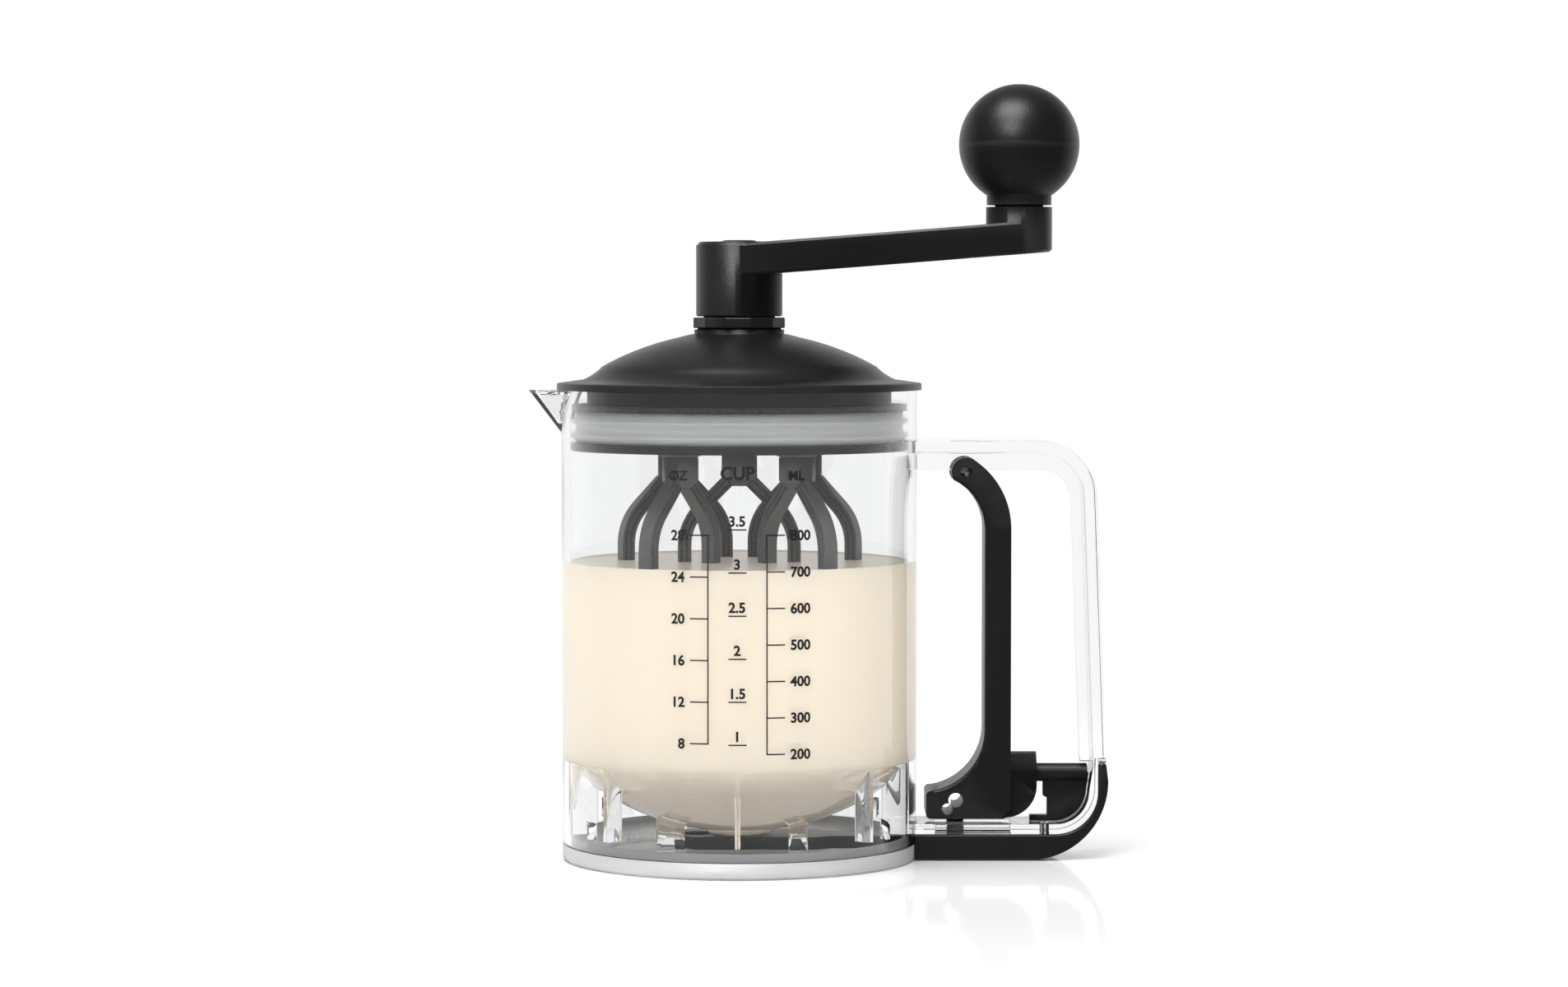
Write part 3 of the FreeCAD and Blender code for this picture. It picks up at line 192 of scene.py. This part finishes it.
# ---------------------------------------------------------------- jug
# Injection-moulded clear plastic jug: straight wall with a drawn-out pouring spout, funnel floor, and
# the skirt with its gussets and valve rails.  Polished tools leave it glass-clear with a faint ripple.
def soften(mesh, crease):
    """Smooth shading, but for edges that turn by more than the crease angle, in degrees."""
    mesh.polygons.foreach_set("use_smooth", [True] * len(mesh.polygons))
    mesh.set_sharp_from_angle(angle=math.radians(crease))


def shaped(node, body, material, crease=32, edge=0.0, steps=2):
    """A finished copy of a CAD piece: triangles merged, sharp edges eased by edge metres, shaded smooth."""
    weld = 2e-6
    flat_turn = math.radians(0.6)
    work = bmesh.new()
    work.from_mesh(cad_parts[node].data)
    bmesh.ops.remove_doubles(work, verts=work.verts, dist=weld)
    bmesh.ops.dissolve_degenerate(work, edges=work.edges, dist=weld)
    if edge:
        bmesh.ops.dissolve_limit(work, angle_limit=flat_turn, verts=work.verts, edges=work.edges,
                                 delimit={"NORMAL"})
        sharp = [e for e in work.edges
                 if len(e.link_faces) == 2 and e.calc_face_angle(0) > math.radians(crease)]
        bmesh.ops.bevel(work, geom=sharp, offset=edge, offset_type="OFFSET", affect="EDGES",
                        segments=steps, profile=0.5, material=-1, clamp_overlap=False)
    piece = placed(node + "_finished", work)
    soften(piece.data, crease)
    piece.data.materials.append(material)
    if edge:
        even = piece.modifiers.new("even_normals", "WEIGHTED_NORMAL")
        even.keep_sharp = True
    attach(piece, body)
    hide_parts(node)
    return piece


def shader_group(name, inputs, outputs):
    """A group with its sockets, and its input and output nodes."""
    group = bpy.data.node_groups.new(name, "ShaderNodeTree")
    for label, kind, value in inputs:
        socket = group.interface.new_socket(label, in_out="INPUT", socket_type=kind)
        socket.default_value = value
    for label, kind in outputs:
        group.interface.new_socket(label, in_out="OUTPUT", socket_type=kind)
    return group, group.nodes.new("NodeGroupInput"), group.nodes.new("NodeGroupOutput")


def finish_with(name, group, values, constants=None):
    """A material whose shader is fed by one group; values are the group's and constants the shader's."""
    material = bpy.data.materials.new(name)
    material.use_nodes = True
    tree = material.node_tree
    shader = tree.nodes["Principled BSDF"]
    effect = add_node(tree, "Group", node_tree=group)
    for label, value in values.items():
        effect.inputs[label].default_value = value
    for source, target in (("Colour", "Base Color"), ("Roughness", "Roughness"), ("Normal", "Normal")):
        if source in effect.outputs:
            tree.links.new(effect.outputs[source], shader.inputs[target])
    for label, value in (constants or {}).items():
        shader.inputs[label].default_value = value
    return material


FLOAT = "NodeSocketFloat"
COLOUR = "NodeSocketColor"
NORMAL = "NodeSocketVector"
# Mould ripple: very low waves, and a trace of fine wipe marks that breaks up polished plastic's gloss.
ripple, into, out = shader_group(
    "mould_ripple",
    [("Wave Size", FLOAT, 30.0), ("Wave Depth", FLOAT, 0.02), ("Roughness", FLOAT, 0.02),
     ("Wipe Marks", FLOAT, 0.03)],
    [("Roughness", FLOAT), ("Normal", NORMAL)],
)
where = add_node(ripple, "TexCoord")
wave = add_node(ripple, "TexNoise", {"Detail": 1.0})
fine = add_node(ripple, "TexNoise", {"Scale": 260.0, "Detail": 4.0, "Roughness": 0.65})
bump = add_node(ripple, "Bump", {"Distance": 0.002})
marks = add_node(ripple, "Math", operation="MULTIPLY")
total = add_node(ripple, "Math", operation="ADD")
join(
    ripple,
    (where.outputs["Object"], wave.inputs["Vector"]),
    (where.outputs["Object"], fine.inputs["Vector"]),
    (into.outputs["Wave Size"], wave.inputs["Scale"]),
    (wave.outputs["Fac"], bump.inputs["Height"]),
    (into.outputs["Wave Depth"], bump.inputs["Strength"]),
    (fine.outputs["Fac"], marks.inputs[0]),
    (into.outputs["Wipe Marks"], marks.inputs[1]),
    (marks.outputs[0], total.inputs[0]),
    (into.outputs["Roughness"], total.inputs[1]),
    (total.outputs[0], out.inputs["Roughness"]),
    (bump.outputs["Normal"], out.inputs["Normal"]),
)
clear_plastic = finish_with(
    "clear_plastic", ripple,
    {"Wave Size": 28.0, "Wave Depth": 0.03, "Roughness": 0.0, "Wipe Marks": 0.03},
    {"Base Color": (0.965, 0.97, 0.972, 1), "Transmission Weight": 1.0, "IOR": 1.5},
)
jug = shaped("jug_body", "jug", clear_plastic, crease=30)
# The wall and the funnel are true surfaces of revolution, so their shading follows the circles and not
# the facets.  The bowl's arc is given by its middle, as radius and height, and its own radius.
outer_wall, inner_wall = 0.056, 0.0536
bowl_mid = Vector((0.00360, 0.08279))
bowl_curve = 0.0720
on_surface = 0.00004
same_way = 0.985
off_axis = 0.004
mesh = jug.data
round_normals = []
for face in mesh.polygons:
    for corner in face.loop_indices:
        spot = mesh.vertices[mesh.loops[corner].vertex_index].co
        radius = math.hypot(spot.x, spot.y)
        true = Vector((0, 0, 0))
        if radius > off_axis:
            radial = Vector((spot.x, spot.y, 0)) / radius
            dip = Vector((radius, spot.z)) - bowl_mid
            inward = -radial * dip.x - Vector((0, 0, dip.y))
            for apart, normal in (
                (radius - outer_wall, radial),
                (radius - inner_wall, -radial),
                (dip.length - bowl_curve, inward.normalized()),
            ):
                if abs(apart) < on_surface and face.normal.dot(normal) > same_way:
                    true = normal
        round_normals.append(true)
mesh.normals_split_custom_set(round_normals)

# ---------------------------------------------------------------- base ring
# Frosted translucent ring pressed into the skirt; the jug stands on it.
frosted_plastic = finish_with(
    "frosted_plastic", ripple,
    {"Wave Size": 60.0, "Wave Depth": 0.05, "Roughness": 0.34, "Wipe Marks": 0.12},
    {"Base Color": (0.93, 0.94, 0.945, 1), "Transmission Weight": 0.75, "IOR": 1.49},
)
shaped("base_ring", "jug", frosted_plastic, crease=30)

# ---------------------------------------------------------------- valve slide
# Black tongue moulded in one piece with its stem.  It has the fine spark-eroded grain of every black
# part here, rubbed a little paler along the edges.
moulded, into, out = shader_group(
    "moulded_grain",
    [("Colour", COLOUR, (0.02, 0.02, 0.02, 1)), ("Rubbed Colour", COLOUR, (0.05, 0.05, 0.05, 1)),
     ("Grain Size", FLOAT, 1800.0), ("Grain Depth", FLOAT, 0.12), ("Roughness", FLOAT, 0.4),
     ("Roughness Spread", FLOAT, 0.08), ("Edge Rub", FLOAT, 0.5)],
    [("Colour", COLOUR), ("Roughness", FLOAT), ("Normal", NORMAL)],
)
where = add_node(moulded, "TexCoord")
grain = add_node(moulded, "TexNoise", {"Detail": 2.0})
cloud = add_node(moulded, "TexNoise", {"Scale": 45.0, "Detail": 5.0, "Roughness": 0.6})
bump = add_node(moulded, "Bump", {"Distance": 0.0002})
shape = add_node(moulded, "NewGeometry")
edges = add_node(moulded, "MapRange", {"From Min": 0.52, "From Max": 0.60})
rub = add_node(moulded, "Math", operation="MULTIPLY")
patchy = add_node(moulded, "Math", operation="MULTIPLY")
tone = add_node(moulded, "Mix", data_type="RGBA")
centre = add_node(moulded, "Math", {1: 0.5}, operation="SUBTRACT")
spread = add_node(moulded, "Math", operation="MULTIPLY_ADD")
join(
    moulded,
    (where.outputs["Object"], grain.inputs["Vector"]),
    (where.outputs["Object"], cloud.inputs["Vector"]),
    (into.outputs["Grain Size"], grain.inputs["Scale"]),
    (grain.outputs["Fac"], bump.inputs["Height"]),
    (into.outputs["Grain Depth"], bump.inputs["Strength"]),
    (bump.outputs["Normal"], out.inputs["Normal"]),
    (shape.outputs["Pointiness"], edges.inputs["Value"]),
    (edges.outputs["Result"], rub.inputs[0]),
    (into.outputs["Edge Rub"], rub.inputs[1]),
    (rub.outputs[0], patchy.inputs[0]),
    (cloud.outputs["Fac"], patchy.inputs[1]),
    (patchy.outputs[0], tone.inputs["Factor"]),
    (into.outputs["Colour"], tone.inputs["A"]),
    (into.outputs["Rubbed Colour"], tone.inputs["B"]),
    (tone.outputs["Result"], out.inputs["Colour"]),
    (cloud.outputs["Fac"], centre.inputs[0]),
    (centre.outputs[0], spread.inputs[0]),
    (into.outputs["Roughness Spread"], spread.inputs[1]),
    (into.outputs["Roughness"], spread.inputs[2]),
    (spread.outputs[0], out.inputs["Roughness"]),
)
black_plastic = finish_with(
    "black_plastic", moulded,
    {"Colour": (0.0045, 0.0045, 0.0047, 1), "Rubbed Colour": (0.03, 0.03, 0.031, 1),
     "Grain Size": 2600.0, "Grain Depth": 0.25, "Roughness": 0.35, "Roughness Spread": 0.10,
     "Edge Rub": 0.6},
    {"Specular IOR Level": 0.28},
)
shaped("valve_slide", "slide", black_plastic, edge=0.0004)

# ---------------------------------------------------------------- outlet seal
# Soft ring between the funnel's outlet and the slide.
grey_silicone = finish_with(
    "grey_silicone", moulded,
    {"Colour": (0.84, 0.85, 0.85, 1), "Rubbed Colour": (0.92, 0.93, 0.93, 1), "Grain Size": 900.0,
     "Grain Depth": 0.08, "Roughness": 0.36, "Roughness Spread": 0.14, "Edge Rub": 0.8},
    {"Transmission Weight": 0.3, "IOR": 1.41},
)
shaped("outlet_seal", "jug", grey_silicone)

# ---------------------------------------------------------------- handle
# Clear T-section bow moulded in the jug's plastic and joined to its wall, with eased edges.
shaped("handle_bow", "jug", clear_plastic, crease=30, edge=0.00035)

# ---------------------------------------------------------------- cover, spring post
# Black shell that closes the slide's channel below the handle, and the clip-in post that holds the
# spring.
shaped("bottom_cover", "jug", black_plastic, edge=0.0006, steps=3)
shaped("spring_post", "jug", black_plastic, edge=0.0002)

# ---------------------------------------------------------------- pins, spring and screws
# Bright steel: the lever's pivot pin, the knob's rivet, the coil return spring, and the self-tapping
# screws.  Fine drawing lines and a faint stain break up the shine.
turned, into, out = shader_group(
    "turned_steel",
    [("Colour", COLOUR, (0.6, 0.6, 0.6, 1)), ("Roughness", FLOAT, 0.25), ("Line Depth", FLOAT, 0.1)],
    [("Colour", COLOUR), ("Roughness", FLOAT), ("Normal", NORMAL)],
)
where = add_node(turned, "TexCoord")
lines = add_node(turned, "TexNoise", {"Scale": 1500.0, "Detail": 3.0})
bump = add_node(turned, "Bump", {"Distance": 0.0001})
stain = add_node(turned, "TexNoise", {"Scale": 400.0})
shade = add_node(turned, "Mix", {"Factor": 0.25}, data_type="RGBA", blend_type="MULTIPLY")
dull = add_node(turned, "Math", {1: 0.2}, operation="MULTIPLY_ADD")
join(
    turned,
    (where.outputs["Object"], lines.inputs["Vector"]),
    (where.outputs["Object"], stain.inputs["Vector"]),
    (lines.outputs["Fac"], bump.inputs["Height"]),
    (into.outputs["Line Depth"], bump.inputs["Strength"]),
    (bump.outputs["Normal"], out.inputs["Normal"]),
    (into.outputs["Colour"], shade.inputs["A"]),
    (stain.outputs["Color"], shade.inputs["B"]),
    (shade.outputs["Result"], out.inputs["Colour"]),
    (stain.outputs["Fac"], dull.inputs[0]),
    (into.outputs["Roughness"], dull.inputs[2]),
    (dull.outputs[0], out.inputs["Roughness"]),
)
steel = finish_with(
    "steel", turned, {"Colour": (0.62, 0.62, 0.61, 1), "Roughness": 0.18, "Line Depth": 0.15},
    {"Metallic": 1.0},
)
for body, steel_nodes in (
    ("jug", ("pivot_pin", "return_spring", "cover_screw_front", "cover_screw_rear")),
    ("lid", ("lid_screw_1", "lid_screw_2", "lid_screw_3", "lid_screw_4")),
    ("crank", ("crank_screw", "knob_pin")),
):
    for node in steel_nodes:
        shaped(node, body, steel)
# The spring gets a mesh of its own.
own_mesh(bpy.data.objects["return_spring_finished"])

# ---------------------------------------------------------------- lever
# Black squeeze lever, cored from the rear, with its spring block and keyhole.
shaped("lever", "lever", black_plastic, crease=25)

# ---------------------------------------------------------------- batter
# What the jug holds: thin cream batter up to just under the 700 line.  It fills the funnel and the
# outlet and wets the wall: it reaches a hair into the wall, sinks as far into the floor, and creeps up
# the wall a little at its edge.
sunk = 0.0003
wall_r = 0.0536 + 0.00015
knee_r, knee_z = 0.0485, 0.0265 - sunk
cone_z = 0.0365 - sunk
bowl_r = 0.072
outlet_r, outlet_z, outlet_low = 0.005 + sunk, 0.0108, 0.0096
level = 0.0935
creep, creep_foot = 0.0006, 0.0001
creep_bend, creep_width = 0.0008, 0.003
arc_steps = 12
chord = Vector((knee_r - outlet_r, knee_z - outlet_z))
lift = math.sqrt(bowl_r ** 2 - chord.length_squared / 4)
mid = Vector((outlet_r, outlet_z)) + chord / 2 + Vector((-chord.y, chord.x)).normalized() * lift
start = math.atan2(outlet_z - mid.y, outlet_r - mid.x)
end = math.atan2(knee_z - mid.y, knee_r - mid.x)
profile = [(0.0, outlet_low), (outlet_r, outlet_low)]
for i in range(arc_steps + 1):
    turn = start + (end - start) * i / arc_steps
    profile.append((mid.x + bowl_r * math.cos(turn), mid.y + bowl_r * math.sin(turn) - sunk))
profile += [(wall_r, cone_z), (wall_r, level + creep), (wall_r - creep_bend, level + creep_foot),
            (wall_r - creep_width, level), (0.0, level)]
work = bmesh.new()
corners = [work.verts.new((r, 0, z)) for r, z in profile]
strip = [work.edges.new(pair) for pair in zip(corners, corners[1:])]
bmesh.ops.spin(work, geom=corners + strip, cent=(0, 0, 0), axis=(0, 0, 1), angle=2 * math.pi, steps=128,
               use_merge=True)
bmesh.ops.remove_doubles(work, verts=work.verts, dist=1e-6)
bmesh.ops.recalc_face_normals(work, faces=work.faces)
batter_fill = placed("batter_fill", work)
soften(batter_fill.data, 40)
# The batter's faint cream glow is painted light: it brightens the batter where the lid's shade falls on it
# and where its thin scattering leaves it dark.
batter = finish_with(
    "batter", moulded,
    {"Colour": (0.94, 0.85, 0.72, 1), "Rubbed Colour": (0.95, 0.88, 0.77, 1), "Grain Size": 160.0,
     "Grain Depth": 0.15, "Roughness": 0.34, "Roughness Spread": 0.16, "Edge Rub": 0.3},
    {"Subsurface Weight": 0.25, "Subsurface Radius": (1.0, 0.6, 0.3), "Subsurface Scale": 0.004,
     "Emission Color": (1.0, 0.87, 0.74, 1), "Emission Strength": 0.17},
)
batter_fill.data.materials.append(batter)
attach(batter_fill, "jug")

# ---------------------------------------------------------------- printed scales
# Dark ink screen-printed on the front of the wall: ounces on the left, cups in the middle, millilitres
# on the right, each with its ticks and numbers.  It is drawn flat and then wrapped round the wall.
ink_r = 0.05604
line_w = 0.00042
number_tall = 0.0030
spine_x, tick_x, label_x = 0.0092, 0.0146, 0.0163
work = bmesh.new()


def ink_line(x0, z0, x1, z1):
    """A printed line in the unrolled wall's plane."""
    made = bmesh.ops.create_grid(work, x_segments=8, y_segments=1, size=0.5)["verts"]
    bmesh.ops.scale(work, vec=(x1 - x0, z1 - z0, 1), verts=made)
    bmesh.ops.translate(work, vec=((x0 + x1) / 2, (z0 + z1) / 2, 0), verts=made)


def ink_text(words, x, z, tall, side="CENTER"):
    """Printed numbers or a unit, centred on their height."""
    capital_share, stroke_share = 0.7, 0.045
    curve = bpy.data.curves.new("ink", "FONT")
    curve.body = words
    curve.size = tall / capital_share
    curve.offset = tall * stroke_share
    curve.align_x = side
    curve.resolution_u = 4
    holder = bpy.data.objects.new("ink", curve)
    scene.collection.objects.link(holder)
    bpy.context.view_layer.update()
    flat = bpy.data.meshes.new_from_object(holder)
    have = len(work.verts)
    work.from_mesh(flat)
    work.verts.ensure_lookup_table()
    bmesh.ops.translate(work, vec=(x, z - tall / 2, 0), verts=work.verts[have:])
    bpy.data.objects.remove(holder)
    bpy.data.curves.remove(curve)
    bpy.data.meshes.remove(flat)


def ladder(hand, first, rise, count, low, step):
    """One scale's upright line, ticks and numbers; hand is 1 to the right of the cups and -1 to the left."""
    side = "LEFT" if hand > 0 else "RIGHT"
    near_end, far_end = sorted((hand * spine_x, hand * tick_x))
    for i in range(count):
        z = low + i * step
        ink_line(near_end, z - line_w / 2, far_end, z + line_w / 2)
        ink_text(str(first + rise * i), hand * label_x, z, number_tall, side)
    near_end, far_end = sorted((hand * spine_x, hand * (spine_x - line_w)))
    ink_line(near_end, low - line_w / 2, far_end, low + (count - 1) * step + line_w / 2)


ladder(hand=1, first=200, rise=100, count=7, low=0.0383, step=0.0111)
ladder(hand=-1, first=8, rise=4, count=6, low=0.04155, step=0.01267)
cup_low, cup_step, cup_half, cup_gap = 0.0412, 0.01308, 0.00275, 0.0026
for i in range(6):
    z = cup_low + i * cup_step
    ink_line(-cup_half, z - line_w / 2, cup_half, z + line_w / 2)
    ink_text("%g" % (1 + 0.5 * i), -0.0001, z + cup_gap, number_tall)
for unit, x, z, tall in (
    ("OZ", -0.0184, 0.1230, 0.0028), ("CUP", 0.0, 0.1237, 0.0038), ("ML", 0.0182, 0.1230, 0.0028),
):
    ink_text(unit, x, z, tall)
for v in work.verts:
    turn = v.co.x / ink_r
    v.co = (ink_r * math.sin(turn), -ink_r * math.cos(turn), v.co.y)
bmesh.ops.triangulate(work, faces=work.faces)
scale_marks = placed("scale_marks", work)
ink = finish_with(
    "ink", moulded,
    {"Colour": (0.006, 0.006, 0.006, 1), "Rubbed Colour": (0.03, 0.03, 0.03, 1), "Grain Size": 3000.0,
     "Grain Depth": 0.1, "Roughness": 0.5, "Roughness Spread": 0.1, "Edge Rub": 0.0},
)
scale_marks.data.materials.append(ink)
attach(scale_marks, "jug")

# ---------------------------------------------------------------- lid
# Black satin dome with its clamped collar nut, the gear housing under it, and the cover that closes
# the gears.
shaped("lid_dome", "lid", black_plastic, crease=30)
shaped("collar_nut", "lid", black_plastic, crease=24, edge=0.0004, steps=3)
shaped("gear_housing", "lid", black_plastic, crease=30)
shaped("gear_cover", "lid", black_plastic, crease=30)

# ---------------------------------------------------------------- gasket
# Translucent grey silicone band with two soft lips that wipe the jug's wall.
shaped("lid_gasket", "lid", grey_silicone, crease=60)

# ---------------------------------------------------------------- gears and bush
# White acetal: the internal ring gear, its five pinions, and the bush that the shaft turns in.
acetal = finish_with(
    "acetal", moulded,
    {"Colour": (0.80, 0.79, 0.74, 1), "Rubbed Colour": (0.7, 0.69, 0.63, 1), "Grain Size": 1500.0,
     "Grain Depth": 0.1, "Roughness": 0.42, "Roughness Spread": 0.12, "Edge Rub": 0.5},
)
shaped("neck_bush", "lid", acetal)
shaped("ring_gear", "crank", acetal, crease=20)
whisk_names = ("centre", "near_right", "near_left", "far_right", "far_left")
for name in whisk_names:
    shaped("pinion_" + name, "beater_" + name, acetal, crease=20)

# ---------------------------------------------------------------- whisks
# Five black loop whisks; three ridges run along each arm.  They are painted a shade greyer than the lid:
# partly their own grey and partly painted light, the haze of the clear wall in front of them.
whisk_plastic = finish_with(
    "whisk_plastic", moulded,
    {"Colour": (0.11, 0.11, 0.111, 1), "Rubbed Colour": (0.18, 0.18, 0.18, 1), "Grain Size": 2200.0,
     "Grain Depth": 0.2, "Roughness": 0.42, "Roughness Spread": 0.10, "Edge Rub": 0.8},
)
for name in whisk_names:
    shaped("whisk_" + name, "beater_" + name, whisk_plastic, crease=30)

# ---------------------------------------------------------------- crank
# Rising crank arm on its hub, with the cap over the screw, and the grey shaft that goes down to the
# gears.
shaped("crank_arm", "crank", black_plastic, crease=25)
shaped("hub_cap", "crank", black_plastic)
shaft_plastic = finish_with(
    "shaft_plastic", moulded,
    {"Colour": (0.08, 0.08, 0.08, 1), "Rubbed Colour": (0.14, 0.14, 0.14, 1), "Grain Size": 1500.0,
     "Grain Depth": 0.1, "Roughness": 0.36, "Roughness Spread": 0.1, "Edge Rub": 0.5},
)
shaped("drive_shaft", "crank", shaft_plastic)

# ---------------------------------------------------------------- knob
# Two black shells snapped together at the ball's equator.
shaped("knob_lower", "knob", black_plastic, crease=30)
shaped("knob_upper", "knob", black_plastic, crease=30)
